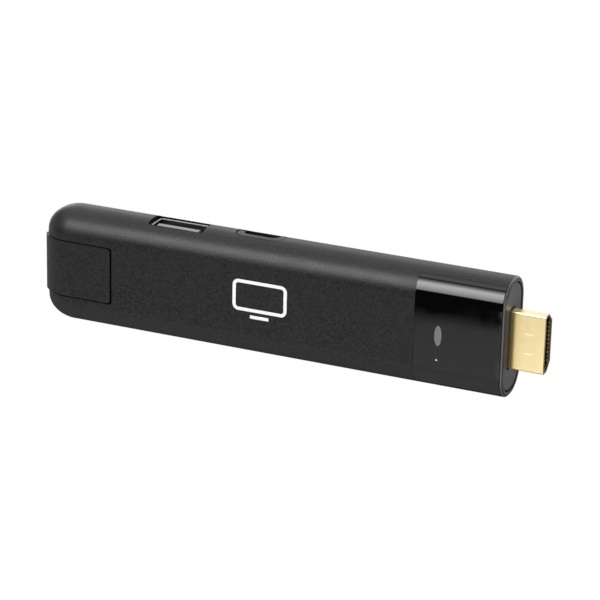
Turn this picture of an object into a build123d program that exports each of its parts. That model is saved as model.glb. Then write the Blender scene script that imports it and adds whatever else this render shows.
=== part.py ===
from build123d import *
import math
import os

# Frame: origin at the centre of the HDMI plug in the plane of the end ring, +X out of the plug,
# -Y the front face, +Z the narrow side with the USB sockets. All lengths are in millimetres.

# Driving dimensions of the casing
BODY_LENGTH = 116.35
BODY_HEIGHT = 28.15
BODY_THICKNESS = 13.0
EDGE_RADIUS = 6.0
NOSE_LENGTH = 7.5
WALL = 1.5
NOSE_WALL = 2.5
NOSE_CAVITY_X = -95.2
RING_ROUND = 0.6

# Back cover
COVER_PLANE_Y = 3.6
COVER_X = (-95.2, -2.0)
COVER_GAP = 0.08
HOOK_LENGTH = 5.0
HOOK_X = (-71.4, -38.0, -9.0)
HOOK_Y = (1.6, 4.4)
HOOK_Z = (10.9, 11.4)
CATCH_RISE = 0.7
CATCH_Z = 12.62
LABEL_SIZE = (58.0, 13.0)
LABEL_X = -48.0
LABEL_THICKNESS = 0.12
LABEL_SINK = 0.2

# End cap on the nose
CAP_THICKNESS = 1.2
CAP_GAP = 0.2
CAP_RIGHT_X = -97.72
CAP_SLOT_RIGHT_X = -97.22
CAP_HEIGHT = 13.5
CAP_SLOT_HEIGHT = 14.1
CAP_PROUD = 0.65
CAP_CORNER = 0.7
CAP_RIB_X = -100.7
CAP_RIB_RADIUS = 0.5
CAP_RIB_RISE = 0.12
CAP_RIB_LENGTH = 9.0

# Glossy window
WINDOW_X = (-21.2, -0.62)
WINDOW_THICKNESS = 0.8
WINDOW_BACK_Y = -3.7
WINDOW_GAP = 0.07
WINDOW_END_GAP = 0.08
LENS_CENTRE = (-15.45, -0.25)
LENS_SIZE = (1.75, 4.85)
LENS_FLANGE = (3.0, 6.2)
LENS_FLANGE_THICKNESS = 0.6
LENS_STEM = (1.75, 2.5)
LIGHT_CENTRE = (-15.6, -6.05)
LIGHT_RADIUS = 0.25
LIGHT_STEM_RADIUS = 0.9

# End plate
PLATE_X = (-1.9, -0.15)
PLATE_FLANGE = 1.0
PLATE_INSET = 1.5
PLATE_EDGE = 0.2
PLUG_GAP = 0.45
RING_LIP = 1.15
RING_LIP_DEPTH = 0.8

# HDMI plug
PLUG_WIDTH = 13.9
PLUG_THICKNESS = 4.45
PLUG_STRAIGHT = 2.3
PLUG_NARROW = 9.9
PLUG_CORNER = 0.45
PLUG_CORNER_LEAST = 0.1
PLUG_METAL = 0.35
PLUG_X = (-10.0, 8.25)
PLUG_SLANT = 45.0
PLUG_SLOT = (2.0, 11.6)
PLUG_SLOT_CORNER = 0.3
PLUG_SLOT_DEPTH = 7.0
PLUG_CORE_BACK = 0.5
PLUG_CORE_SET_BACK = 0.35
PLUG_DIMPLE = (2.2, 0.45, 0.05)
PLUG_DIMPLE_X = 4.6
PLUG_DIMPLE_Z = 2.35
PLUG_CONTACT = (6.6, 0.3, 0.45)
PLUG_CONTACT_RISE = 0.1
PLUG_CONTACT_REACH = 0.05
PLUG_PITCH = 1.0
PLUG_ROWS = ((1, 10), (-1, 9))
COLLAR_X = (-13.2, -2.3)
COLLAR_HEIGHT = 16.4
COLLAR_WALL = 0.6
COLLAR_CORNER = 0.5
FIT_GAP = 0.05

# USB sockets
USB_A_X = -82.35
USB_A_MOUTH_Z = 13.05
TAIL_MOUTH_X = -113.8
USB_A_SHELL = (13.1, 5.7)
USB_A_METAL = 0.3
USB_A_CORNER = 0.6
USB_A_LIP = 0.15
USB_A_LIP_DEPTH = 0.3
USB_A_OPENING_GAP = 0.35
USB_A_DEPTH = 14.0
USB_A_TONGUE = (10.6, 1.84)
USB_A_TONGUE_Y = -1.15
USB_A_TONGUE_SET_BACK = 0.05
USB_A_TIP_CHAMFER = 0.3
USB_A_BLOCK_DEPTH = 4.6
USB_A_BLOCK_CORNER = 0.25
CORE_GAP = 0.1
USB_A_CONTACT_X = (-3.5, -1.0, 1.0, 3.5)
USB_A_CONTACT = (1.0, 0.12, 7.4)
USB_A_CONTACT_SET_BACK = 0.8
USB_C_X = -62.2
USB_C_Y = 1.42
USB_C_MOUTH_Z = 13.2
USB_C_SHELL = (8.74, 3.06)
USB_C_METAL = 0.2
USB_C_DEPTH = 7.75
USB_C_TONGUE = (6.69, 0.7)
USB_C_TONGUE_SET_BACK = 0.6
USB_C_BLOCK_DEPTH = 1.6
USB_C_CONTACT = (0.25, 0.1, 4.2)
USB_C_PITCH = 0.5
USB_C_CONTACTS = 12
USB_C_RECESS = (12.0, 5.2)
USB_C_RECESS_Y = 0.6
USB_C_RECESS_DEPTH = 0.15
USB_C_CONTACT_SET_BACK = 0.4
USB_C_FOOT = (0.8, 2.0)
USB_C_FOOT_INSET = 1.9
SOCKET_GAP = 0.1

# Board and what stands on it
BOARD_X = (-109.2, -3.0)
BOARD_HEIGHT = 21.0
BOARD_TAIL_X = -94.8
BOARD_TAIL_HEIGHT = 17.0
BOARD_OVERLAP = 3.0
BOARD_Y = (2.95, 3.95)
BOARD_CORNER = 1.5
BOSS_CENTRES = ((-22.5, 8.0), (-22.5, -8.0), (-72.0, -8.0), (-69.3, 8.0))
BOSS_RADIUS = 1.8
BOSS_HOLE_RADIUS = 0.85
BOARD_HOLE_RADIUS = 0.95
BOSS_HOLE_DEPTH = 4.5
SCREW_RADIUS = 0.8
SCREW_LENGTH = 4.6
SCREW_HEAD = (1.45, 0.7)
SCREW_HEAD_ROUND = 0.25
SCREW_RECESS = (1.6, 0.35, 0.45)
SHIELD_X = (-52.0, -26.0)
SHIELD_HEIGHT = 19.0
SHIELD_RISE = 2.4
SHIELD_METAL = 0.2
SHIELD_CORNER = 1.0
SHIELD_LIFT = 0.5
FENCE_CORNER = 0.7
FENCE_LEDGE = 1.5
SPREADER_SIZE = (25.0, 16.0)
SPREADER_THICKNESS = 0.8
SPREADER_CORNER = 1.0
FIN_SIZE = (22.0, 1.6, 0.6)
FIN_COUNT = 6
FIN_PITCH = 2.6

SOC_X = -35.5
SOC_SIZE = 13.0
SOC_RISE = 1.2
SOC_CARRIER = 0.4
SOC_STEP = 1.4
PAD_SIZE = 11.0
MEMORY_X = -47.2
MEMORY_Z = (-4.7, 4.7)
MEMORY_SIZE = (7.2, 0.95, 8.4)
FLASH_CENTRE = (-39.25, 0.0)
FLASH_SIZE = (11.5, 0.85, 13.0)
CHIP_CHAMFER = 0.2
WIFI_CENTRE = (-63.0, -3.8)
WIFI_CARRIER = (11.4, 0.6, 12.0)
WIFI_CAN = (10.6, 2.0, 11.2)
WIFI_CORNER = 0.6
POWER_CENTRE = (-92.0, 5.2)
POWER_SIZE = (4.0, 0.85, 4.0)
INDUCTOR_X = -92.0
INDUCTOR_Z = (-0.4, -5.4)
INDUCTOR_SIZE = (4.0, 1.9, 4.0)
INDUCTOR_CORNER = 0.8
CRYSTAL_CENTRE = (-54.6, -6.6)
CRYSTAL_SIZE = (2.4, 0.8, 3.2)
CRYSTAL_CORNER = 0.5
# Rows of capacitors: X, first Z, pitch, count and size
CAPACITOR_ROWS = ((-54.6, -3.0, 1.5, 6, (0.8, 0.8, 1.0)), (-95.8, -4.4, 2.2, 5, (1.6, 0.8, 0.8)),
                  (-23.0, -3.3, 2.2, 4, (1.6, 0.8, 0.8)))
LED_SIZE = (0.9, 0.6, 1.6)
LED_TOP_Y = BOARD_Y[0] - LED_SIZE[1]
IR_X = -18.0
IR_Z = 6.9
IR_SIZE = (4.0, 2.6, 3.6)
IR_LENS_RADIUS = 1.4
IR_MARGIN = 0.3
ANTENNA_SIZE = (7.0, 0.65, 2.0)
ANTENNA_X = -62.0
ANTENNA_Z = 8.4

# Reset switch on the lower board edge
SWITCH_X = -82.0
SWITCH_SIZE = (4.6, 1.8, 3.0)
SWITCH_FACE_Z = -10.3
BUTTON_SIZE = (2.0, 0.9)
BUTTON_DEPTH = 0.9
BUTTON_OUT = 0.9
BUTTON_TRAVEL = 0.3
BUTTON_GAP = 0.1
BUTTON_Y = BOARD_Y[0] - SWITCH_SIZE[1] / 2
PINHOLE_RADIUS = 0.6

LABEL_CORNER = 1.0
LABEL_MARGIN = 0.2

NOSE_X = NOSE_LENGTH - BODY_LENGTH
FRONT_Y = -BODY_THICKNESS / 2
BACK_Y = BODY_THICKNESS / 2
INNER_FRONT_Y = FRONT_Y + WALL
FAR = 20.0


def centred(middle, size):
    return (middle - size / 2, middle + size / 2)


def block(x, y, z):
    """A box between pairs of X, Y and Z values."""
    size = [high - low for low, high in (x, y, z)]
    middle = [(high + low) / 2 for low, high in (x, y, z)]
    return Pos(*middle) * Box(*size)


def along_x(sketch, x):
    """A YZ sketch (local x is Y, local y is Z) drawn out between two X values."""
    return extrude(Plane.YZ.offset(x[0]) * sketch, amount=x[1] - x[0])


def along_y(sketch, y):
    """An XZ sketch (local x is X, local y is Z) drawn out between two Y values."""
    plane = Plane(origin=(0, y[1], 0), x_dir=(1, 0, 0), z_dir=(0, -1, 0))
    return extrude(plane * sketch, amount=y[1] - y[0])


def rounded_bar(inset=0.0, proud=0.0):
    """The casing's outer form moved inwards by inset, its nose stretched by proud."""
    radius = EDGE_RADIUS - inset
    thickness = BODY_THICKNESS - 2 * inset
    height = BODY_HEIGHT - 2 * inset
    straight = along_x(RectangleRounded(thickness, height, radius), (NOSE_X, 0))
    cushion = Box(4 * radius, thickness, height)
    cushion = Pos(radius, 0, 0) * fillet(cushion.edges(), radius)
    nose = split(cushion, bisect_by=Plane.YZ, keep=Keep.BOTTOM)
    nose = scale(nose, by=((NOSE_LENGTH - inset + proud) / radius, 1, 1))
    return straight + Pos(NOSE_X, 0, 0) * nose


def cavity():
    """The hollow inside the casing, which narrows in the nose under the end cap."""
    main = rounded_bar(WALL) & block((NOSE_CAVITY_X, FAR), (-FAR, FAR), (-FAR, FAR))
    return main + rounded_bar(NOSE_WALL)


def cap_zone(right_x, height, left_x):
    """The block of space that the end cap, or its recess, takes up."""
    length = right_x - left_x
    outline = Pos((right_x + left_x) / 2, 0) * RectangleRounded(length, height, CAP_CORNER)
    return along_y(outline, (-FAR, FAR))


def cap_recess():
    zone = cap_zone(CAP_SLOT_RIGHT_X, CAP_SLOT_HEIGHT, -BODY_LENGTH - FAR)
    return zone - rounded_bar(CAP_THICKNESS + CAP_GAP)


def end_cap():
    """A U that wraps round the nose, with a small grip rib inside each arm."""
    zone = cap_zone(CAP_RIGHT_X, CAP_HEIGHT, -BODY_LENGTH - CAP_PROUD)
    cap = (rounded_bar(proud=CAP_PROUD) & zone) - rounded_bar(CAP_THICKNESS)
    arm_y = BODY_THICKNESS / 2 - CAP_THICKNESS
    for side in (-1, 1):
        centre_y = side * (arm_y + CAP_RIB_RADIUS - CAP_RIB_RISE)
        cap += Pos(CAP_RIB_X, centre_y, 0) * Cylinder(CAP_RIB_RADIUS, CAP_RIB_LENGTH)
    return cap


def window_zone(gap, end_gap):
    x = (WINDOW_X[0] - gap, WINDOW_X[1] + end_gap)
    return block(x, (-FAR, WINDOW_BACK_Y + gap), (-FAR, FAR))


def front_window():
    skin = (rounded_bar() & window_zone(0, 0)) - rounded_bar(WINDOW_THICKNESS)
    return skin - lens_form(FIT_GAP) - light_form(FIT_GAP)


def lens_oval(size, gap=0.0):
    return Pos(*LENS_CENTRE) * Ellipse(size[0] / 2 + gap, size[1] / 2 + gap)


def lens_form(gap):
    return along_y(lens_oval(LENS_SIZE, gap), (FRONT_Y, INNER_FRONT_Y))


def light_form(gap):
    return along_y(Pos(*LIGHT_CENTRE) * Circle(LIGHT_RADIUS + gap), (FRONT_Y, INNER_FRONT_Y))


def status_lens():
    """An oval lens with a flange behind the front wall and a stem down to its LED."""
    flange_y = (INNER_FRONT_Y, INNER_FRONT_Y + LENS_FLANGE_THICKNESS)
    lens = lens_form(0) + along_y(lens_oval(LENS_FLANGE), flange_y)
    return lens + along_y(lens_oval(LENS_STEM), (INNER_FRONT_Y, LED_TOP_Y - SOCKET_GAP))


def led_light_pipe():
    stem = Pos(*LIGHT_CENTRE) * Circle(LIGHT_STEM_RADIUS)
    return light_form(0) + along_y(stem, (INNER_FRONT_Y, LED_TOP_Y - SOCKET_GAP))


def bosses():
    shape = Part()
    for x, z in BOSS_CENTRES:
        post = along_y(Pos(x, z) * Circle(BOSS_RADIUS), (INNER_FRONT_Y - FIT_GAP, BOARD_Y[0]))
        hole = Pos(x, z) * Circle(BOSS_HOLE_RADIUS)
        shape += post - along_y(hole, (BOARD_Y[0] - BOSS_HOLE_DEPTH, BOARD_Y[0]))
    return shape


def socket_cuts():
    """Openings for the two USB sockets in the narrow side and the one behind the end cap."""
    grow = 2 * USB_A_OPENING_GAP
    usb_a = RectangleRounded(USB_A_SHELL[0] + grow, USB_A_SHELL[1] + grow, USB_A_CORNER)
    side = Pos(USB_A_X, 0, 0) * extrude(usb_a, amount=FAR)
    tail = along_x(Rot(0, 0, 90) * usb_a, (-BODY_LENGTH - FAR, TAIL_MOUTH_X + USB_A_DEPTH / 2))
    throat = SlotOverall(USB_C_SHELL[0] + 2 * SOCKET_GAP, USB_C_SHELL[1] + 2 * SOCKET_GAP)
    return side + tail + Pos(USB_C_X, USB_C_Y, 0) * extrude(throat, amount=FAR)


def usb_c_recess():
    """A shallow recess of even depth around the USB-C mouth."""
    outline = Pos(USB_C_X, USB_C_RECESS_Y, 0) * extrude(SlotOverall(*USB_C_RECESS), amount=FAR)
    return outline - rounded_bar(USB_C_RECESS_DEPTH)


def cover_zone(gap):
    x = (COVER_X[0] + gap, COVER_X[1] - gap)
    return block(x, (COVER_PLANE_Y + gap, FAR), (-FAR, FAR))


def catches(gap):
    """The beads on the snap hooks, or with a gap the pockets that they click into."""
    shape = Part()
    for x in HOOK_X:
        for side in (-1, 1):
            z = sorted((side * (HOOK_Z[0] + gap), side * (CATCH_Z + gap)))
            y = (HOOK_Y[0] - gap, HOOK_Y[0] + CATCH_RISE + gap)
            shape += block(centred(x, HOOK_LENGTH + 2 * gap), y, z)
    return shape


def hooks():
    """Snap hooks along both long edges of the back cover."""
    shape = catches(0)
    for x in HOOK_X:
        for side in (-1, 1):
            z = sorted((side * HOOK_Z[0], side * HOOK_Z[1]))
            shape += block(centred(x, HOOK_LENGTH), HOOK_Y, z)
    return shape


def body_shell():
    """Front, narrow sides, nose and end ring in one moulding, open behind the board."""
    ring = rounded_bar()
    end_edges = ring.faces().sort_by(Axis.X)[-1].edges()
    ring = fillet(end_edges, RING_ROUND)
    opening = RectangleRounded(BODY_THICKNESS - 2 * RING_LIP, BODY_HEIGHT - 2 * RING_LIP,
                               EDGE_RADIUS - RING_LIP)
    shell = ring - cavity() - cap_recess() - cover_zone(0)
    shell -= along_x(opening, (-RING_LIP_DEPTH, FAR))
    shell -= window_zone(WINDOW_GAP, WINDOW_END_GAP) - rounded_bar(WINDOW_THICKNESS + FIT_GAP)
    shell += bosses()
    shell -= lens_form(SOCKET_GAP) + light_form(SOCKET_GAP)
    shell -= socket_cuts() + catches(SOCKET_GAP)
    shell -= usb_c_recess()
    eye = Pos(IR_X, IR_Z) * Circle(IR_LENS_RADIUS + IR_MARGIN)
    shell -= along_y(eye, (-FAR, INNER_FRONT_Y + FIT_GAP))
    pinhole = Pos(SWITCH_X, BUTTON_Y, -BODY_HEIGHT / 2) * Cylinder(PINHOLE_RADIUS, 3 * WALL)
    return shell - pinhole


def back_cover():
    shell = (rounded_bar() & cover_zone(COVER_GAP)) - rounded_bar(WALL)
    shell += hooks()
    return shell - along_y(label_outline(0), (BACK_Y - LABEL_SINK, FAR))


def label_outline(inset):
    length, height = [size - 2 * inset for size in LABEL_SIZE]
    return Pos(LABEL_X, 0) * RectangleRounded(length, height, LABEL_CORNER - inset)


def rating_label():
    floor = BACK_Y - LABEL_SINK
    return along_y(label_outline(LABEL_MARGIN), (floor, floor + LABEL_THICKNESS))


def plug_outline(grow=0.0):
    """The plug's section: a wide straight side towards the front, slanted shoulders behind it."""
    shift = grow * math.tan(math.radians(PLUG_SLANT / 2))
    half_width = PLUG_WIDTH / 2 + grow
    half_narrow = PLUG_NARROW / 2 + shift
    low = -PLUG_THICKNESS / 2 - grow
    high = PLUG_THICKNESS / 2 + grow
    shoulder = -PLUG_THICKNESS / 2 + PLUG_STRAIGHT + shift
    points = [(low, -half_width), (low, half_width), (shoulder, half_width),
              (high, half_narrow), (high, -half_narrow), (shoulder, -half_width)]
    face = make_face(Polyline(*points, close=True))
    return fillet(face.vertices(), max(PLUG_CORNER + grow, PLUG_CORNER_LEAST))


def end_plate():
    """A flat plate around the plug: a visible face and a flange that seats in the casing."""
    face = RectangleRounded(BODY_THICKNESS - 2 * PLATE_INSET, BODY_HEIGHT - 2 * PLATE_INSET,
                            EDGE_RADIUS - PLATE_INSET)
    flange_inset = WALL + FIT_GAP
    flange = RectangleRounded(BODY_THICKNESS - 2 * flange_inset, BODY_HEIGHT - 2 * flange_inset,
                              EDGE_RADIUS - flange_inset)
    front = along_x(face, (PLATE_X[0], PLATE_X[1]))
    front = fillet(front.faces().sort_by(Axis.X)[-1].edges(), PLATE_EDGE)
    plate = front + along_x(flange, (PLATE_X[0], PLATE_X[0] + PLATE_FLANGE))
    return plate - along_x(plug_outline(PLUG_GAP), (-FAR, FAR))


def hdmi_plug_shell():
    """A folded metal tube with two shallow latch dimples in each wide face."""
    tube = along_x(plug_outline(), PLUG_X) - along_x(plug_outline(-PLUG_METAL), PLUG_X)
    length, height, depth = PLUG_DIMPLE
    for side in (-1, 1):
        face_y = side * PLUG_THICKNESS / 2
        y = sorted((face_y - side * depth, face_y + side * depth))
        for z in (-PLUG_DIMPLE_Z, PLUG_DIMPLE_Z):
            tube -= along_y(Pos(PLUG_DIMPLE_X, z) * SlotOverall(length, height), y)
    return tube


def hdmi_plug_insulator():
    tip = PLUG_X[1] - PLUG_CORE_SET_BACK
    core = along_x(plug_outline(-PLUG_METAL - FIT_GAP), (PLUG_X[0] + PLUG_CORE_BACK, tip))
    mouth = RectangleRounded(*PLUG_SLOT, PLUG_SLOT_CORNER)
    core -= along_x(mouth, (tip - PLUG_SLOT_DEPTH, tip))
    return core - hdmi_contact_bars(FIT_GAP)


def hdmi_contact_bars(gap):
    """Contacts in two staggered rows, on the two long walls of the plug's mouth."""
    length, depth, width = PLUG_CONTACT
    tip = PLUG_X[1] - PLUG_CORE_SET_BACK
    bars = Part()
    for side, count in PLUG_ROWS:
        for index in range(count):
            z = (index - (count - 1) / 2) * PLUG_PITCH
            wall_y = side * PLUG_SLOT[0] / 2
            sunk_y = wall_y + side * (depth - PLUG_CONTACT_RISE + gap)
            y = sorted((wall_y - side * PLUG_CONTACT_RISE, sunk_y))
            x = (tip - length, tip + PLUG_CONTACT_REACH + gap)
            bars += block(x, y, (z - width / 2 - gap, z + width / 2 + gap))
    return bars


def hdmi_plug_contacts():
    return hdmi_contact_bars(0)


def hdmi_plug_collar():
    y = (-PLUG_THICKNESS / 2 - COLLAR_WALL, BOARD_Y[0])
    body = block(COLLAR_X, y, centred(0.0, COLLAR_HEIGHT))
    body = fillet(body.edges().filter_by(Axis.X), COLLAR_CORNER)
    return body - along_x(plug_outline(FIT_GAP), (PLUG_X[0] - FIT_GAP, FAR))


def usb_a_parts():
    """Shell, tongue and contacts of a USB-A socket whose mouth is at the origin, facing +Z."""
    width, thickness = USB_A_SHELL
    outline = RectangleRounded(width, thickness, USB_A_CORNER)
    inside = RectangleRounded(width - 2 * USB_A_METAL, thickness - 2 * USB_A_METAL,
                              USB_A_CORNER - USB_A_METAL)
    lip = RectangleRounded(width + 2 * USB_A_LIP, thickness + 2 * USB_A_LIP, USB_A_CORNER + USB_A_LIP)
    shell = extrude(outline, amount=-USB_A_DEPTH) + extrude(lip, amount=-USB_A_LIP_DEPTH)
    shell -= extrude(inside, amount=-(USB_A_DEPTH - USB_A_METAL))
    floor = -(USB_A_DEPTH - USB_A_METAL)
    block_outline = RectangleRounded(width - 2 * USB_A_METAL - CORE_GAP,
                                     thickness - 2 * USB_A_METAL - CORE_GAP, USB_A_BLOCK_CORNER)
    core = extrude(Pos(0, 0, floor) * block_outline, amount=USB_A_BLOCK_DEPTH)
    tongue_top = -USB_A_TONGUE_SET_BACK
    tongue = Rectangle(*USB_A_TONGUE)
    tongue = extrude(Pos(0, USB_A_TONGUE_Y, floor) * tongue, amount=tongue_top - floor)
    tip_edges = tongue.faces().sort_by(Axis.Z)[-1].edges().filter_by(Axis.X)
    core += chamfer(tip_edges, USB_A_TIP_CHAMFER)
    contacts = Part()
    bar_width, bar_depth, bar_length = USB_A_CONTACT
    face_y = USB_A_TONGUE_Y + USB_A_TONGUE[1] / 2
    for x in USB_A_CONTACT_X:
        top = tongue_top - USB_A_CONTACT_SET_BACK
        contacts += block(centred(x, bar_width), centred(face_y, bar_depth), (top - bar_length, top))
    return shell, core - contacts, contacts


def usb_c_parts():
    """Shell, tongue and contacts of the USB-C socket, placed in the narrow side."""
    width, thickness = USB_C_SHELL
    place = Pos(USB_C_X, USB_C_Y, USB_C_MOUTH_Z)
    inner = (width - 2 * USB_C_METAL, thickness - 2 * USB_C_METAL)
    shell = extrude(SlotOverall(width, thickness), amount=-USB_C_DEPTH)
    shell -= extrude(SlotOverall(*inner), amount=-(USB_C_DEPTH - USB_C_METAL))
    foot_x, foot_z = USB_C_FOOT
    for side in (-1, 1):
        near = width / 2 - USB_C_FOOT_INSET
        x = sorted((side * near, side * (near + foot_x)))
        y = (thickness / 2 - USB_C_METAL / 2, BOARD_Y[0] - USB_C_Y)
        shell += block(x, y, (-USB_C_DEPTH, -USB_C_DEPTH + foot_z))
    floor = -(USB_C_DEPTH - USB_C_METAL)
    root = SlotOverall(inner[0] - CORE_GAP, inner[1] - CORE_GAP)
    core = extrude(Pos(0, 0, floor) * root, amount=USB_C_BLOCK_DEPTH)
    reach = -USB_C_TONGUE_SET_BACK - floor
    core += extrude(Pos(0, 0, floor) * Rectangle(*USB_C_TONGUE), amount=reach)
    contacts = Part()
    bar_width, bar_depth, bar_length = USB_C_CONTACT
    top = -USB_C_TONGUE_SET_BACK - USB_C_CONTACT_SET_BACK
    for side in (-1, 1):
        face_y = side * USB_C_TONGUE[1] / 2
        for index in range(USB_C_CONTACTS):
            x = (index - (USB_C_CONTACTS - 1) / 2) * USB_C_PITCH
            contacts += block(centred(x, bar_width), centred(face_y, bar_depth),
                              (top - bar_length, top))
    return place * shell, place * (core - contacts), place * contacts


def on_board(centre, size, lift=0.0):
    """A chip-like block at (X, Z) on the board's front side; its size is length, rise, width."""
    x, z = centre
    length, rise, width = size
    return block(centred(x, length), (BOARD_Y[0] - rise, BOARD_Y[0] - lift), centred(z, width))


def upright_edges(shape):
    return shape.edges().filter_by(Axis.Y)


def main_board():
    front = Pos((BOARD_TAIL_X + BOARD_X[1]) / 2, 0)
    front *= RectangleRounded(BOARD_X[1] - BOARD_TAIL_X, BOARD_HEIGHT, BOARD_CORNER)
    tail_length = BOARD_TAIL_X + BOARD_OVERLAP - BOARD_X[0]
    tail = Pos(BOARD_X[0] + tail_length / 2, 0)
    tail *= RectangleRounded(tail_length, BOARD_TAIL_HEIGHT, BOARD_CORNER)
    board = along_y(front + tail, BOARD_Y)
    for x, z in BOSS_CENTRES:
        board -= along_y(Pos(x, z) * Circle(BOARD_HOLE_RADIUS), BOARD_Y)
    return board


def board_screws():
    """Pan-head screws through the board into the casing's bosses."""
    head_radius, head_rise = SCREW_HEAD
    arm, width, depth = SCREW_RECESS
    shape = Part()
    for x, z in BOSS_CENTRES:
        top = BOARD_Y[1] + head_rise
        head = along_y(Pos(x, z) * Circle(head_radius), (BOARD_Y[1], top))
        head = fillet(head.faces().sort_by(Axis.Y)[-1].edges(), SCREW_HEAD_ROUND)
        for sizes in ((arm, width), (width, arm)):
            head -= along_y(Pos(x, z) * Rectangle(*sizes), (top - depth, top))
        shaft = along_y(Pos(x, z) * Circle(SCREW_RADIUS), (BOARD_Y[1] - SCREW_LENGTH, BOARD_Y[1]))
        shape += head + shaft
    return shape


def shield_frame():
    """A low soldered fence with a window, which the lid snaps over."""
    middle = sum(SHIELD_X) / 2
    length = SHIELD_X[1] - SHIELD_X[0] - 2 * (SHIELD_METAL + FIT_GAP)
    height = SHIELD_HEIGHT - 2 * (SHIELD_METAL + FIT_GAP)
    top = BOARD_Y[0] - SHIELD_RISE + SHIELD_METAL + FIT_GAP
    outline = Pos(middle, 0) * RectangleRounded(length, height, SHIELD_CORNER)
    outer = along_y(outline, (top, BOARD_Y[0]))
    inner = RectangleRounded(length - 2 * SHIELD_METAL, height - 2 * SHIELD_METAL, FENCE_CORNER)
    outer -= along_y(Pos(middle, 0) * inner, (top + SHIELD_METAL, BOARD_Y[0]))
    opening = RectangleRounded(length - 2 * FENCE_LEDGE, height - 2 * FENCE_LEDGE, SHIELD_CORNER)
    return outer - along_y(Pos(middle, 0) * opening, (top, BOARD_Y[0]))


def shield_lid():
    middle = sum(SHIELD_X) / 2
    length = SHIELD_X[1] - SHIELD_X[0]
    top = BOARD_Y[0] - SHIELD_RISE
    skirt_end = BOARD_Y[0] - SHIELD_LIFT
    outer = along_y(Pos(middle, 0) * RectangleRounded(length, SHIELD_HEIGHT, SHIELD_CORNER),
                    (top, skirt_end))
    inner = RectangleRounded(length - 2 * SHIELD_METAL, SHIELD_HEIGHT - 2 * SHIELD_METAL,
                             SHIELD_CORNER - SHIELD_METAL)
    return outer - along_y(Pos(middle, 0) * inner, (top + SHIELD_METAL, skirt_end))


def soc_chip():
    """A ball-grid package: a thin carrier with a moulded block on it."""
    top = SOC_SIZE - SOC_STEP
    mould = on_board((SOC_X, 0), (top, SOC_RISE, top))
    carrier = on_board((SOC_X, 0), (SOC_SIZE, SOC_CARRIER, SOC_SIZE))
    return carrier + chamfer(upright_edges(mould), SOC_CARRIER)


def thermal_pad():
    lid_inside = BOARD_Y[0] - SHIELD_RISE + SHIELD_METAL
    y = (lid_inside, BOARD_Y[0] - SOC_RISE)
    return block(centred(SOC_X, PAD_SIZE), y, centred(0.0, PAD_SIZE))


def heat_spreader():
    """An aluminium plate on the shield lid, with low fins towards the front wall."""
    middle = sum(SHIELD_X) / 2
    seat = BOARD_Y[0] - SHIELD_RISE
    plate = RectangleRounded(*SPREADER_SIZE, SPREADER_CORNER)
    shape = along_y(Pos(middle, 0) * plate, (seat - SPREADER_THICKNESS, seat))
    length, rise, width = FIN_SIZE
    for index in range(FIN_COUNT):
        z = (index - (FIN_COUNT - 1) / 2) * FIN_PITCH
        top = seat - SPREADER_THICKNESS
        shape += block(centred(middle, length), (top - rise, top), centred(z, width))
    return shape


def memory_chips():
    chips = Part()
    for z in MEMORY_Z:
        chip = on_board((MEMORY_X, z), MEMORY_SIZE)
        chips += chamfer(upright_edges(chip), CHIP_CHAMFER)
    return chips


def flash_chip():
    """The storage chip on the back of the board."""
    x, z = FLASH_CENTRE
    length, rise, width = FLASH_SIZE
    chip = block(centred(x, length), (BOARD_Y[1], BOARD_Y[1] + rise), centred(z, width))
    return chamfer(upright_edges(chip), CHIP_CHAMFER)


def wifi_module():
    """A small carrier board with a shielding can on it."""
    can = on_board(WIFI_CENTRE, WIFI_CAN, WIFI_CARRIER[1])
    return on_board(WIFI_CENTRE, WIFI_CARRIER) + fillet(upright_edges(can), WIFI_CORNER)


def power_chip():
    chip = on_board(POWER_CENTRE, POWER_SIZE)
    return chamfer(upright_edges(chip), CHIP_CHAMFER)


def inductors():
    coils = Part()
    for z in INDUCTOR_Z:
        body = on_board((INDUCTOR_X, z), INDUCTOR_SIZE)
        coils += fillet(upright_edges(body), INDUCTOR_CORNER)
    return coils


def capacitors():
    """Rows of small ceramic capacitors beside the power chips and the processor."""
    parts = Part()
    for x, first_z, pitch, count, size in CAPACITOR_ROWS:
        for index in range(count):
            parts += on_board((x, first_z + pitch * index), size)
    return parts


def crystal():
    can = on_board(CRYSTAL_CENTRE, CRYSTAL_SIZE)
    return fillet(upright_edges(can), CRYSTAL_CORNER)


def ir_receiver():
    """An infrared receiver with a round lens that looks through the window."""
    body = on_board((IR_X, IR_Z), IR_SIZE)
    return body + Pos(IR_X, BOARD_Y[0] - IR_SIZE[1], IR_Z) * Sphere(IR_LENS_RADIUS)


def status_leds():
    leds = Part()
    for centre in (LENS_CENTRE, LIGHT_CENTRE):
        leds += on_board(centre, LED_SIZE)
    return leds


def antennas():
    """Two ceramic chip antennas on the back of the board, near its long edges."""
    length, rise, width = ANTENNA_SIZE
    chips = Part()
    for z in (-ANTENNA_Z, ANTENNA_Z):
        chips += block(centred(ANTENNA_X, length), (BOARD_Y[1], BOARD_Y[1] + rise), centred(z, width))
    return chips


def button_form(gap, reach):
    width, thickness = BUTTON_SIZE
    low = SWITCH_FACE_Z - reach
    high = SWITCH_FACE_Z + BUTTON_DEPTH + gap
    return block(centred(SWITCH_X, width + 2 * gap), centred(BUTTON_Y, thickness + 2 * gap), (low, high))


def reset_switch_base():
    width, thickness, depth = SWITCH_SIZE
    z = (SWITCH_FACE_Z, SWITCH_FACE_Z + depth)
    base = block(centred(SWITCH_X, width), (BOARD_Y[0] - thickness, BOARD_Y[0]), z)
    return base - button_form(BUTTON_GAP, 0) - Pos(0, 0, BUTTON_TRAVEL) * button_form(BUTTON_GAP, 0)


def reset_button():
    return button_form(0, BUTTON_OUT)


def save(shape, node):
    export_step(shape, f"parts/{node}.step")


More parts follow.
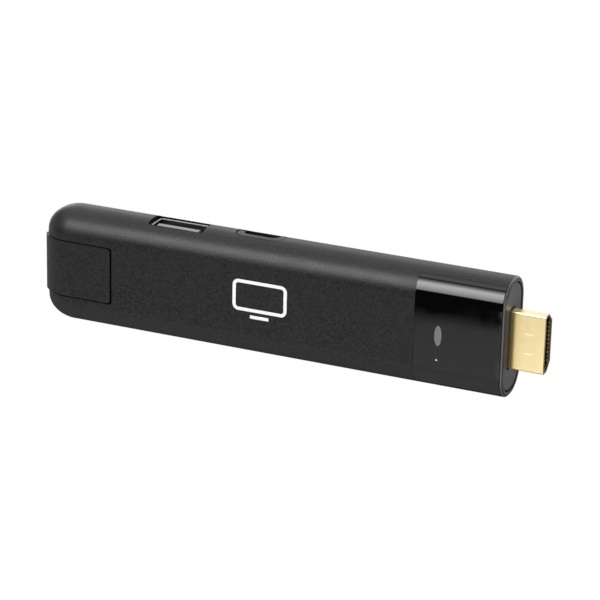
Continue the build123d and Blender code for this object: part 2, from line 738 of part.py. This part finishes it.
os.makedirs("parts", exist_ok=True)
usb_a = usb_a_parts()
usb_c = usb_c_parts()
side_place = Pos(USB_A_X, 0, USB_A_MOUTH_Z)
tail_place = Plane(origin=(TAIL_MOUTH_X, 0, 0), x_dir=(0, 0, 1), z_dir=(-1, 0, 0)).location

for builder in (body_shell, back_cover, rating_label, end_plate, front_window, status_lens,
                led_light_pipe, end_cap, hdmi_plug_shell, hdmi_plug_insulator, hdmi_plug_contacts,
                hdmi_plug_collar, main_board, board_screws, shield_frame, shield_lid, soc_chip,
                thermal_pad, heat_spreader, memory_chips, flash_chip, wifi_module, power_chip,
                inductors, capacitors, crystal, ir_receiver, status_leds, antennas,
                reset_switch_base, reset_button):
    save(builder(), builder.__name__)
for piece, shape in zip(("shell", "tongue", "contacts"), usb_a):
    save(side_place * shape, f"usb_a_{piece}")
    save(tail_place * shape, f"tail_usb_{piece}")
for piece, shape in zip(("shell", "tongue", "contacts"), usb_c):
    save(shape, f"usb_c_{piece}")
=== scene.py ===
import math

import bpy
from mathutils import Matrix, Vector


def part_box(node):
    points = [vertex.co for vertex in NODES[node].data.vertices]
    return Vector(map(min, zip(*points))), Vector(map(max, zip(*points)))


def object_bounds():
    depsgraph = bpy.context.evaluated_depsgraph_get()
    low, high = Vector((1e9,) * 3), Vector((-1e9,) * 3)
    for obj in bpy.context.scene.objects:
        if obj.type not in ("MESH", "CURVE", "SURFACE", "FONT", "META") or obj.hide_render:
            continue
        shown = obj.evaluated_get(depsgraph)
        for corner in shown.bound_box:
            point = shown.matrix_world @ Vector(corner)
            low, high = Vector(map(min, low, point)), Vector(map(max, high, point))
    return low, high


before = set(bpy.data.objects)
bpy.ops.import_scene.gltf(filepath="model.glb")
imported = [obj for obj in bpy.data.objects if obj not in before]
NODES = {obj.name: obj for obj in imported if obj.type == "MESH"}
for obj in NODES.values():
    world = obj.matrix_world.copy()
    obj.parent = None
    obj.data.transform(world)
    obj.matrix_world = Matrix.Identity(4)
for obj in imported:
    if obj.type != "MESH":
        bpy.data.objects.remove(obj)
START_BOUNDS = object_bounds()
MM = 0.001

# The camera: direction, distance and lens, aimed at a point near the middle of the stick
CAMERA_AZIMUTH = math.radians(23.094)
CAMERA_ELEVATION = math.radians(20.831)
CAMERA_ROLL = math.radians(1.363)
CAMERA_DISTANCE = 0.642051
CAMERA_AIM = Vector((-0.052283, 0.000945, -0.000515))
CAMERA_LENS = 167.092

# The room of light panels: its left and right ends, the table and the end of its lit part, where the
# back wall changes, the back wall, the ceiling, and the strength of the panels for the ring's rim
ROOM_X = (-1.55, 0.85)
TABLE_Z = -0.53
SHADOW_Y = 0.30
LEFT_WALL_X = -0.63
BACK_Y = 1.2
CEILING_Z = 1.1
RIM_LIGHT = 4.0

# The casing plastic: grey levels are linear, and sizes of grain and marks are in metres
CASING_GREY = 0.011
CASING_ROUGHNESS = 0.40
CASING_SPECULAR = 0.30
FINE_GRAIN = 0.11 * MM
CASING_GRAIN = dict(grain=0.45 * MM, depth=3.0e-5, mottle=0.9)
PRINT_BLUR = 0.06 * MM


def direction(azimuth, elevation):
    """The unit vector from the object towards a place at that azimuth (0 is -Y) and elevation."""
    return Vector((math.sin(azimuth) * math.cos(elevation),
                   -math.cos(azimuth) * math.cos(elevation), math.sin(elevation)))


def add_camera():
    back = direction(CAMERA_AZIMUTH, CAMERA_ELEVATION)
    level = Vector((math.cos(CAMERA_AZIMUTH), math.sin(CAMERA_AZIMUTH), 0))
    upright = back.cross(level)
    right = level * math.cos(CAMERA_ROLL) + upright * math.sin(CAMERA_ROLL)
    up = upright * math.cos(CAMERA_ROLL) - level * math.sin(CAMERA_ROLL)
    data = bpy.data.cameras.new("camera")
    data.lens = CAMERA_LENS
    data.sensor_width = 36.0
    data.clip_start = 0.01
    camera = bpy.data.objects.new("camera", data)
    bpy.context.scene.collection.objects.link(camera)
    turn = Matrix((right, up, back)).transposed().to_4x4()
    camera.matrix_world = Matrix.Translation(CAMERA_AIM + back * CAMERA_DISTANCE) @ turn
    bpy.context.scene.camera = camera


# ---- Light ----

def emitter(name, low, high, axis, levels):
    """An emission material whose strength follows levels, a list of (place on the axis, strength)."""
    material = bpy.data.materials.new(name)
    material.use_nodes = True
    tree = material.node_tree
    tree.nodes.clear()
    light = tree.nodes.new("ShaderNodeEmission")
    peak = max(level for place, level in levels)
    light.inputs["Strength"].default_value = peak
    output = tree.nodes.new("ShaderNodeOutputMaterial")
    tree.links.new(light.outputs[0], output.inputs["Surface"])
    if len(levels) > 1:
        place = tree.nodes.new("ShaderNodeTexCoord")
        split = tree.nodes.new("ShaderNodeSeparateXYZ")
        ramp = tree.nodes.new("ShaderNodeValToRGB")
        while len(ramp.color_ramp.elements) < len(levels):
            ramp.color_ramp.elements.new(0.5)
        for element, (at, level) in zip(ramp.color_ramp.elements, levels):
            element.position = (at - low) / (high - low)
            element.color = (level / peak, level / peak, level / peak, 1)
        tree.links.new(place.outputs["Generated"], split.inputs[0])
        tree.links.new(split.outputs[axis], ramp.inputs["Fac"])
        tree.links.new(ramp.outputs["Color"], light.inputs["Color"])
    return material


def card(name, corners, levels, axis="Y"):
    """A flat light panel with four corners, which the surfaces see and the camera doesn't."""
    mesh = bpy.data.meshes.new(name)
    mesh.from_pydata([tuple(c) for c in corners], [], [(0, 1, 2, 3)])
    panel = bpy.data.objects.new(name, mesh)
    bpy.context.scene.collection.objects.link(panel)
    places = [Vector(corner)["XYZ".index(axis)] for corner in corners]
    mesh.materials.append(emitter(name + "_light", min(places), max(places), axis, levels))
    panel.visible_camera = False
    panel.visible_shadow = False
    return panel


def strip(name, near, far, levels, axis="Y", reach=ROOM_X):
    """A panel that runs along X between a near and a far line, each given as (Y, Z)."""
    corners = [(reach[0], *near), (reach[1], *near), (reach[1], *far), (reach[0], *far)]
    return card(name, corners, levels, axis)


def add_surroundings():
    """A white backdrop for the camera, which lights nothing itself."""
    world = bpy.data.worlds.new("studio")
    bpy.context.scene.world = world
    world.use_nodes = True
    world.node_tree.nodes["Background"].inputs["Color"].default_value = (1, 1, 1, 1)
    world.cycles_visibility.diffuse = False
    world.cycles_visibility.glossy = False
    world.cycles_visibility.transmission = False


def add_softbox():
    """A softbox in front and above: its reflection is the bright line along the front edge."""
    glow = [(-1.019, 1.0), (-1.0, 3.5), (-0.95, 5.3), (-0.85, 7.0), (-0.74, 9.4), (-0.63, 10.3),
            (-0.52, 4.0), (-0.44, 1.2), (-0.376, 0.0)]
    strip("key_softbox", (-1.019, 0.254), (-0.376, 0.980), glow, reach=(-0.76, -0.03))


def add_table():
    """The table: a soft dark edge in front, shadow under and behind the stick, lighter to the left."""
    table = [(-1.318, 0.0), (-1.31, 0.25), (-1.293, 0.76), (-1.2, 0.87), (-0.9, 0.76), (-0.26, 0.70),
             (-0.06, 0.48), (0.127, 0.30), (SHADOW_Y, 0.10)]
    strip("table", (-1.318, TABLE_Z), (SHADOW_Y, TABLE_Z), table)
    split = ((-0.31, SHADOW_Y, TABLE_Z), (-0.66, BACK_Y, TABLE_Z))
    left = [(ROOM_X[0], SHADOW_Y, TABLE_Z), *split, (ROOM_X[0], BACK_Y, TABLE_Z)]
    right = [split[0], (ROOM_X[1], SHADOW_Y, TABLE_Z), (ROOM_X[1], BACK_Y, TABLE_Z), split[1]]
    card("table_back_left", left, [(SHADOW_Y, 0.08), (0.5, 0.22), (BACK_Y, 0.45)])
    card("table_back_right", right, [(SHADOW_Y, 0.04), (0.5, 0.09), (BACK_Y, 0.12)])


def add_walls():
    """The back wall in three parts, brighter to the left, a panel by the nose, and the ceiling."""
    foot, head = (BACK_Y, TABLE_Z), (BACK_Y, CEILING_Z)
    upper = [(0.15, 1.15), (0.26, 1.28), (CEILING_Z, 1.3)]
    wall = [(TABLE_Z, 0.85), (-0.2, 0.75), (0.0, 0.9), *upper]
    strip("wall_left", foot, head, wall, "Z", (ROOM_X[0], LEFT_WALL_X))
    wall = [(TABLE_Z, 0.38), (-0.2, 0.46), (0.0, 0.72), *upper]
    strip("wall_right", foot, head, wall, "Z", (LEFT_WALL_X, ROOM_X[1]))
    wall = [(TABLE_Z, 2.3), (-0.2, 2.1), (0.0, 2.1), (0.15, 2.4), (0.26, 2.4), (0.45, 1.4),
            (CEILING_Z, 1.2)]
    strip("wall_far_left", (1.19, TABLE_Z), (1.19, CEILING_Z), wall, "Z", (ROOM_X[0], -0.70))
    side = [(-1.5, -0.5, TABLE_Z), (-1.5, 1.18, TABLE_Z), (-1.5, 1.18, 0.5), (-1.5, -0.5, 0.5)]
    card("side_by_nose", side, [(0, 0.6)])
    ceiling = [(-0.40, 0.9), (-0.24, 1.75), (-0.05, 1.2), (0.145, 1.7), (0.35, 1.3), (BACK_Y, 1.3)]
    strip("ceiling", (-0.40, CEILING_Z), head, ceiling)


def add_plug_lights():
    """What the plug, the end plate and the rounded rim of the end ring see."""
    low = TABLE_Z + MM
    by_plug = [(-0.229, -0.7, low), (-0.492, -1.46, low), (-0.25, -1.46, low), (-0.05, -0.7, low)]
    card("table_by_plug", by_plug, [(0, 2.6)])
    strip("wall_by_plug", (1.19, 0.3), (1.19, 0.75), [(0, 0.95)], "Z", (-0.42, -0.30))
    plate = [(-0.75, 0.85), (-0.55, 0.95), (-0.40, 1.25), (-0.3, 1.35)]
    strip("wall_by_plate", (1.15, -0.75), (1.15, -0.3), plate, "Z", (0.2, 1.0))
    rim = [(-0.1, 1.5), (0.1, RIM_LIGHT), (0.72, RIM_LIGHT)]
    strip("wall_by_ring", (1.14, -0.1), (1.14, 0.72), rim, "Z", (0.25, ROOM_X[1]))
    side = [(1.2, -0.9, -0.75), (1.2, 0.1, -0.75), (1.2, 0.1, 0.0), (1.2, -0.9, 0.0)]
    card("side_by_ring", side, [(0, RIM_LIGHT)])


# ---- Materials ----

class Surface:
    """A node material: a Principled shader whose colour, roughness and bump come from textures."""

    def __init__(self, name, roughness, metallic=0.0, specular=0.5):
        self.material = bpy.data.materials.new(name)
        self.material.use_nodes = True
        self.tree = self.material.node_tree
        self.shader = self.tree.nodes["Principled BSDF"]
        self.shader.inputs["Roughness"].default_value = roughness
        self.shader.inputs["Metallic"].default_value = metallic
        self.shader.inputs["Specular IOR Level"].default_value = specular
        self.place = self.tree.nodes.new("ShaderNodeTexCoord").outputs["Object"]
        self.axes = self.tree.nodes.new("ShaderNodeSeparateXYZ")
        self.tree.links.new(self.place, self.axes.inputs[0])

    def feed(self, socket, value):
        if isinstance(value, bpy.types.NodeSocket):
            self.tree.links.new(value, socket)
        else:
            socket.default_value = value

    def math(self, operation, *values):
        node = self.tree.nodes.new("ShaderNodeMath")
        node.operation = operation
        for socket, value in zip(node.inputs, values):
            self.feed(socket, value)
        return node.outputs[0]

    def noise(self, size, detail=3.0, stretch=(1, 1, 1)):
        """Noise whose features are about size metres across, drawn out by stretch along X, Y, Z."""
        mapping = self.tree.nodes.new("ShaderNodeMapping")
        mapping.inputs["Scale"].default_value = [1 / factor for factor in stretch]
        self.tree.links.new(self.place, mapping.inputs["Vector"])
        node = self.tree.nodes.new("ShaderNodeTexNoise")
        node.inputs["Scale"].default_value = 1 / size
        node.inputs["Detail"].default_value = detail
        self.tree.links.new(mapping.outputs[0], node.inputs["Vector"])
        return node.outputs["Fac"]

    def cells(self, size, output="Color"):
        node = self.tree.nodes.new("ShaderNodeTexVoronoi")
        node.inputs["Scale"].default_value = 1 / size
        self.tree.links.new(self.place, node.inputs["Vector"])
        return node.outputs[output]

    def span(self, value, source, target):
        """The value, carried from the source range to the target range and held inside it."""
        node = self.tree.nodes.new("ShaderNodeMapRange")
        for index, limit in enumerate((*source, *target)):
            node.inputs[index + 1].default_value = limit
        self.feed(node.inputs[0], value)
        return node.outputs[0]

    def blend(self, factor, first, second):
        node = self.tree.nodes.new("ShaderNodeMix")
        node.data_type = "RGBA"
        for index, value in ((6, first), (7, second)):
            if isinstance(value, bpy.types.NodeSocket):
                self.tree.links.new(value, node.inputs[index])
            else:
                node.inputs[index].default_value = (*value, 1)
        self.feed(node.inputs[0], factor)
        return node.outputs[2]

    def colour(self, socket):
        self.tree.links.new(socket, self.shader.inputs["Base Color"])

    def roughness(self, socket):
        self.tree.links.new(socket, self.shader.inputs["Roughness"])

    def bump(self, height, depth, strength=1.0):
        node = self.tree.nodes.new("ShaderNodeBump")
        node.inputs["Distance"].default_value = depth
        node.inputs["Strength"].default_value = strength
        self.tree.links.new(height, node.inputs["Height"])
        self.tree.links.new(node.outputs[0], self.shader.inputs["Normal"])

    def put(self, *names):
        for name in names:
            mesh = NODES[name].data
            mesh.materials.clear()
            mesh.materials.append(self.material)


def tone(colour, factor):
    return tuple(min(1.0, channel * factor) for channel in colour)


def plastic(name, colour, roughness, specular=0.5, grain=FINE_GRAIN, depth=4e-6, mottle=0.12):
    """Moulded plastic: fine spark grain, a slow drift in tone and gloss, and a few rubbed places."""
    surface = Surface(name, roughness, specular=specular)
    fine = surface.noise(grain, 4.0)
    drift = surface.noise(7 * MM, 2.0)
    rubbed = surface.span(surface.noise(2.6 * MM, 5.0, (5, 1, 1)), (0.62, 0.74), (0.0, 1.0))
    speck = surface.span(fine, (0.30, 0.70), (0.0, 1.0))
    base = surface.blend(speck, tone(colour, 1 - mottle), tone(colour, 1 + mottle))
    base = surface.blend(surface.span(drift, (0.3, 0.7), (0.0, 0.5)), base, tone(colour, 1.12))
    surface.base = base
    surface.colour(base)
    level = surface.span(drift, (0.3, 0.7), (roughness - 0.03, roughness + 0.03))
    surface.roughness(surface.math("SUBTRACT", level, surface.math("MULTIPLY", rubbed, 0.05)))
    surface.bump(fine, depth)
    return surface


def metal(name, colour, roughness, brush=(1, 1, 1), size=0.25 * MM, depth=1e-6, stain=0.1, uneven=0.25):
    """Plated or rolled metal: brushed or stamped texture, slight tarnish and hairline scratches."""
    surface = Surface(name, roughness, metallic=1.0)
    lines = surface.noise(size, 5.0, brush)
    cloud = surface.noise(2.2 * MM, 4.0)
    scratch = surface.span(surface.noise(0.5 * MM, 2.0, (1, 1, 14)), (0.70, 0.74), (0.0, 1.0))
    dull = surface.span(cloud, (0.35, 0.7), (0.0, 1.0))
    surface.base = surface.blend(dull, colour, tone(colour, 1 - stain))
    surface.colour(surface.base)
    level = surface.span(lines, (0.25, 0.75), (roughness * (1 - uneven), roughness * (1 + uneven)))
    surface.roughness(surface.math("ADD", level, surface.math("MULTIPLY", scratch, uneven / 2)))
    surface.bump(lines, depth)
    return surface


def paint(surface, mask, colour):
    """Lay a colour over a surface where the mask is 1."""
    surface.base = surface.blend(mask, surface.base, colour)
    surface.colour(surface.base)


def rounded_frame(surface, centre, half, corner, width, axes="XZ"):
    """A mask that is 1 on the outline of a rounded rectangle in the plane of two axes."""
    sides = []
    for axis, middle, reach in zip(axes, centre, half):
        offset = surface.math("ABSOLUTE", surface.math("SUBTRACT", surface.axes.outputs[axis], middle))
        sides.append(surface.math("MAXIMUM", surface.math("SUBTRACT", offset, reach - corner), 0.0))
    squares = [surface.math("MULTIPLY", side, side) for side in sides]
    reach = surface.math("SQRT", surface.math("ADD", *squares))
    from_line = surface.math("ABSOLUTE", surface.math("SUBTRACT", reach, corner))
    return surface.span(from_line, (width / 2, width / 2 + PRINT_BLUR), (1.0, 0.0))


def bar(surface, centre, half):
    """A mask that is 1 inside an upright rectangle in the XZ plane."""
    mask = 1.0
    for axis, middle, reach in (("X", centre[0], half[0]), ("Z", centre[1], half[1])):
        offset = surface.math("ABSOLUTE", surface.math("SUBTRACT", surface.axes.outputs[axis], middle))
        inside = surface.span(offset, (reach, reach + PRINT_BLUR), (1.0, 0.0))
        mask = surface.math("MULTIPLY", mask, inside)
    return mask


def front_only(surface, mask, front_y, skin=0.15 * MM):
    """Keep a printed mask to the face that points to -Y."""
    return surface.math("MULTIPLY", mask, surface.span(surface.axes.outputs["Y"],
                                                       (front_y + skin, front_y + 2 * skin), (1.0, 0.0)))


def centre_of(name):
    low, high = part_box(name)
    return (Vector(low) + Vector(high)) / 2


# The generic printed mark: the outline of a screen on a short foot
MARK_X = -59.2 * MM
MARK_Z = 1.3 * MM
MARK_HALF = (6.4 * MM, 3.4 * MM)
MARK_LINE = 0.75 * MM
MARK_CORNER = 1.1 * MM
MARK_FOOT_DROP = 1.6 * MM
MARK_FOOT_HALF = 2.3 * MM

# The painted shade line along the edge of the shallow recess around the USB-C mouth, in X and Y
RECESS_CENTRE = (-62.2 * MM, 0.6 * MM)
RECESS_HALF = (6.0 * MM, 2.6 * MM)

# The end ring: the casing's corner radius, and the gap between the ring and the plate inside it
CASING_CORNER = 6.0 * MM
RING_GAP = 0.1 * MM

# The walls of the opening around the USB-A shell, where shade is painted, in X and Y
MOUTH_CENTRE = tuple(centre_of("usb_a_shell")[:2])
MOUTH_HALF = (6.9 * MM, 3.2 * MM)


def print_mark(shell):
    """The screen and its foot, printed on the front."""
    screen = rounded_frame(shell, (MARK_X, MARK_Z), MARK_HALF, MARK_CORNER, MARK_LINE)
    foot_z = MARK_Z - MARK_HALF[1] - MARK_FOOT_DROP
    foot = bar(shell, (MARK_X, foot_z), (MARK_FOOT_HALF, MARK_LINE / 2))
    mark = front_only(shell, shell.math("MAXIMUM", screen, foot), START_BOUNDS[0][1])
    paint(shell, mark, (0.80, 0.80, 0.80))


def paint_ring_highlight(shell):
    """The two edges of the end ring, painted lighter as a highlight: the rounded outer one and the one
    at the plate.
    """
    along = shell.axes.outputs["X"]
    outer = shell.math("MULTIPLY", shell.span(along, (-0.42 * MM, -0.30 * MM), (0.0, 1.0)),
                       shell.span(along, (-0.16 * MM, -0.06 * MM), (1.0, 0.0)))
    low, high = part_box("end_plate")
    half = (high[1] + RING_GAP, high[2] + RING_GAP)
    corner = CASING_CORNER - (START_BOUNDS[1][1] - half[0])
    inner = shell.math("MULTIPLY", rounded_frame(shell, (0, 0), half, corner, 0.3 * MM, "YZ"),
                       shell.span(along, (-0.15 * MM, -0.05 * MM), (0.0, 1.0)))
    # Painted highlight: a lighter grey band along both edges of the end ring
    paint(shell, shell.math("MAXIMUM", outer, inner), (0.11, 0.11, 0.112))


def paint_mouth_shade(shell):
    """Painted shade along the edge of the USB-C recess and on the walls around the USB-A shell."""
    shade_edge = rounded_frame(shell, RECESS_CENTRE, RECESS_HALF, RECESS_HALF[1], 0.26 * MM, "XY")
    mouth = rounded_frame(shell, MOUTH_CENTRE, MOUTH_HALF, 0.5 * MM, 0.2 * MM, "XY")
    shade_edge = shell.math("MAXIMUM", shade_edge, mouth)
    upper = shell.span(shell.axes.outputs["Z"], (10.5 * MM, 11 * MM), (0.0, 0.95))
    shade_edge = shell.math("MULTIPLY", shade_edge, upper)
    # Painted shade: near-black colour, with less specular, along both mouth outlines
    paint(shell, shade_edge, (0.004, 0.004, 0.004))
    level = shell.math("MULTIPLY", shell.math("SUBTRACT", 1.0, shade_edge), CASING_SPECULAR)
    shell.tree.links.new(level, shell.shader.inputs["Specular IOR Level"])


def casing():
    grey = (CASING_GREY, CASING_GREY, CASING_GREY * 1.02)
    shell = plastic("charcoal_casing_printed", grey, CASING_ROUGHNESS, CASING_SPECULAR, **CASING_GRAIN)
    print_mark(shell)
    paint_ring_highlight(shell)
    paint_mouth_shade(shell)
    shell.put("body_shell")
    for name, node in (("charcoal_casing", "back_cover"), ("charcoal_cap", "end_cap")):
        plastic(name, grey, CASING_ROUGHNESS, CASING_SPECULAR, **CASING_GRAIN).put(node)
    plate = (0.048, 0.048, 0.049)
    plastic("end_plate_satin", plate, 0.45, 0.26, grain=0.09 * MM, depth=3e-6).put("end_plate")


def window():
    """Polished black plastic with a trace of dust and finger haze."""
    surface = Surface("window_gloss", 0.02)
    dust = surface.span(surface.noise(0.22 * MM, 2.0), (0.70, 0.78), (0.0, 1.0))
    haze = surface.span(surface.noise(5 * MM, 3.0), (0.4, 0.75), (0.0, 1.0))
    surface.colour(surface.blend(dust, (0.0018, 0.0018, 0.0018), (0.006, 0.006, 0.006)))
    surface.roughness(surface.span(haze, (0.0, 1.0), (0.015, 0.05)))
    surface.bump(surface.noise(9 * MM, 1.0), 4e-6)
    surface.put("front_window")


def lens_and_light():
    lens = plastic("lens_smoke", (0.142, 0.142, 0.147), 0.25, grain=0.3 * MM, depth=1e-6, mottle=0.05)
    lens.put("status_lens")
    light = plastic("light_pipe_tip", (0.40, 0.40, 0.40), 0.2, grain=0.3 * MM, depth=1e-6, mottle=0.03)
    light.put("led_light_pipe")


def plug():
    gold = metal("plug_gold", (1.0, 0.82, 0.455), 0.28, (6, 1, 1), 0.3 * MM, 3e-8, 0.06, uneven=0.02)
    # Painted shade: deeper, darker gold near the root of the plug, by the end ring
    root_shade = gold.span(gold.axes.outputs["X"], (0.5 * MM, 3.0 * MM), (0.6, 0.0))
    paint(gold, root_shade, (1.0, 0.74, 0.24))
    # Painted shade: the tip end of the plug shell painted near-black
    tip_shade = gold.span(gold.axes.outputs["X"], (8.12 * MM, 8.18 * MM), (0.0, 0.9))
    paint(gold, tip_shade, (0.10, 0.07, 0.05))
    gold.put("hdmi_plug_shell")
    metal("contact_gold", (0.86, 0.66, 0.30), 0.25, (1, 1, 8)).put("hdmi_plug_contacts",
                                                                  "usb_a_contacts", "usb_c_contacts",
                                                                  "tail_usb_contacts")
    nylon = (0.010, 0.010, 0.010)
    plastic("black_nylon", nylon, 0.5, grain=0.16 * MM).put("hdmi_plug_insulator", "hdmi_plug_collar",
                                                           "usb_c_tongue", "tail_usb_tongue")


def sockets():
    """Tin-plated shells, bright at the rim of the mouth, with painted shade inside."""
    for name, axis, mouth in (("usb_a_shell", "Z", 1), ("tail_usb_shell", "X", 0)):
        low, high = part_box(name)
        shell = metal(name.replace("shell", "tin"), (0.75, 0.75, 0.76), 0.5, (1, 1, 8))
        rim = high[2] if mouth else low[0]
        depth = shell.math("ABSOLUTE", shell.math("SUBTRACT", shell.axes.outputs[axis], rim))
        inside_shade = shell.span(depth, (0.05 * MM, 0.2 * MM), (0.0, 1.0))
        # Painted shade: the inside of each shell, beyond the rim, painted near-black
        paint(shell, inside_shade, (0.05, 0.05, 0.05))
        shell.put(name)
    metal("black_nickel", (0.06, 0.06, 0.062), 0.3, (1, 1, 8)).put("usb_c_shell")
    plastic("grey_nylon", (0.18, 0.18, 0.184), 0.5, grain=0.3 * MM, mottle=0.25).put("usb_a_tongue")


def board():
    """Green solder mask with a net of copper tracks under it."""
    surface = plastic("solder_mask", (0.012, 0.075, 0.035), 0.3, grain=0.5 * MM, depth=1e-6)
    cell = surface.cells(3.4 * MM, "Distance")
    track = surface.math("MODULO", surface.math("MULTIPLY", cell, 7.0), 1.0)
    lines = surface.span(surface.math("ABSOLUTE", surface.math("SUBTRACT", track, 0.5)), (0.12, 0.2),
                         (1.0, 0.0))
    paint(surface, lines, (0.03, 0.15, 0.07))
    surface.bump(lines, 2e-5)
    surface.put("main_board")


def chips():
    """Moulded packages, each with a pin-one dot near one corner."""
    for name in ("soc_chip", "memory_chips", "flash_chip", "power_chip"):
        low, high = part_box(name)
        surface = plastic(name + "_epoxy", (0.018, 0.018, 0.019), 0.55, grain=0.14 * MM)
        inset = 0.16 * (high[2] - low[2]) if name != "memory_chips" else 1.2 * MM
        dot = rounded_frame(surface, (low[0] + inset, low[2] + inset), (0.2 * MM, 0.2 * MM),
                            0.2 * MM, 0.3 * MM)
        paint(surface, dot, (0.2, 0.2, 0.2))
        surface.put(name)


def internals():
    tin = metal("shield_tin", (0.66, 0.67, 0.68), 0.3, (6, 1, 1), 0.3 * MM, 1.5e-6, 0.16)
    tin.put("shield_frame", "shield_lid", "wifi_module", "crystal", "reset_switch_base")
    metal("screw_zinc", (0.5, 0.5, 0.52), 0.32, (1, 1, 1), 0.2 * MM, 2e-6).put("board_screws")
    spreader = metal("extruded_aluminium", (0.70, 0.71, 0.72), 0.36, (20, 1, 1), 0.18 * MM, 3e-6)
    spreader.put("heat_spreader")
    plastic("silicone_pad", (0.26, 0.31, 0.38), 0.8, grain=0.3 * MM, depth=1e-5).put("thermal_pad")
    plastic("pressed_ferrite", (0.055, 0.055, 0.06), 0.6, grain=0.2 * MM, depth=8e-6).put("inductors")
    plastic("tan_ceramic", (0.42, 0.30, 0.18), 0.5, grain=0.2 * MM, depth=3e-6).put("capacitors",
                                                                                   "antennas")
    plastic("dark_epoxy", (0.02, 0.012, 0.02), 0.2, grain=0.4 * MM, depth=1e-6).put("ir_receiver")
    plastic("led_package", (0.75, 0.75, 0.68), 0.3, grain=0.3 * MM, depth=1e-6).put("status_leds")
    plastic("red_nylon", (0.55, 0.12, 0.07), 0.45, grain=0.2 * MM, depth=3e-6).put("reset_button")


def label():
    """Blank silver-grey foil with a thin printed border and a dividing line."""
    surface = plastic("label_foil", (0.30, 0.305, 0.31), 0.45, grain=0.25 * MM, depth=2e-6)
    low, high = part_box("rating_label")
    middle = centre_of("rating_label")
    half = ((high[0] - low[0]) / 2 - 0.9 * MM, (high[2] - low[2]) / 2 - 0.9 * MM)
    border = rounded_frame(surface, (middle.x, middle.z), half, 0.6 * MM, 0.2 * MM)
    divider = bar(surface, (middle.x + 0.25 * half[0], middle.z), (0.1 * MM, half[1]))
    paint(surface, surface.math("MAXIMUM", border, divider), (0.05, 0.05, 0.05))
    surface.put("rating_label")


# The white of the studio stays white, as it does in a product picture
bpy.context.scene.view_settings.view_transform = "Standard"
add_camera()
add_surroundings()
add_softbox()
add_table()
add_walls()
add_plug_lights()
casing()
window()
lens_and_light()
plug()
sockets()
board()
chips()
internals()
label()
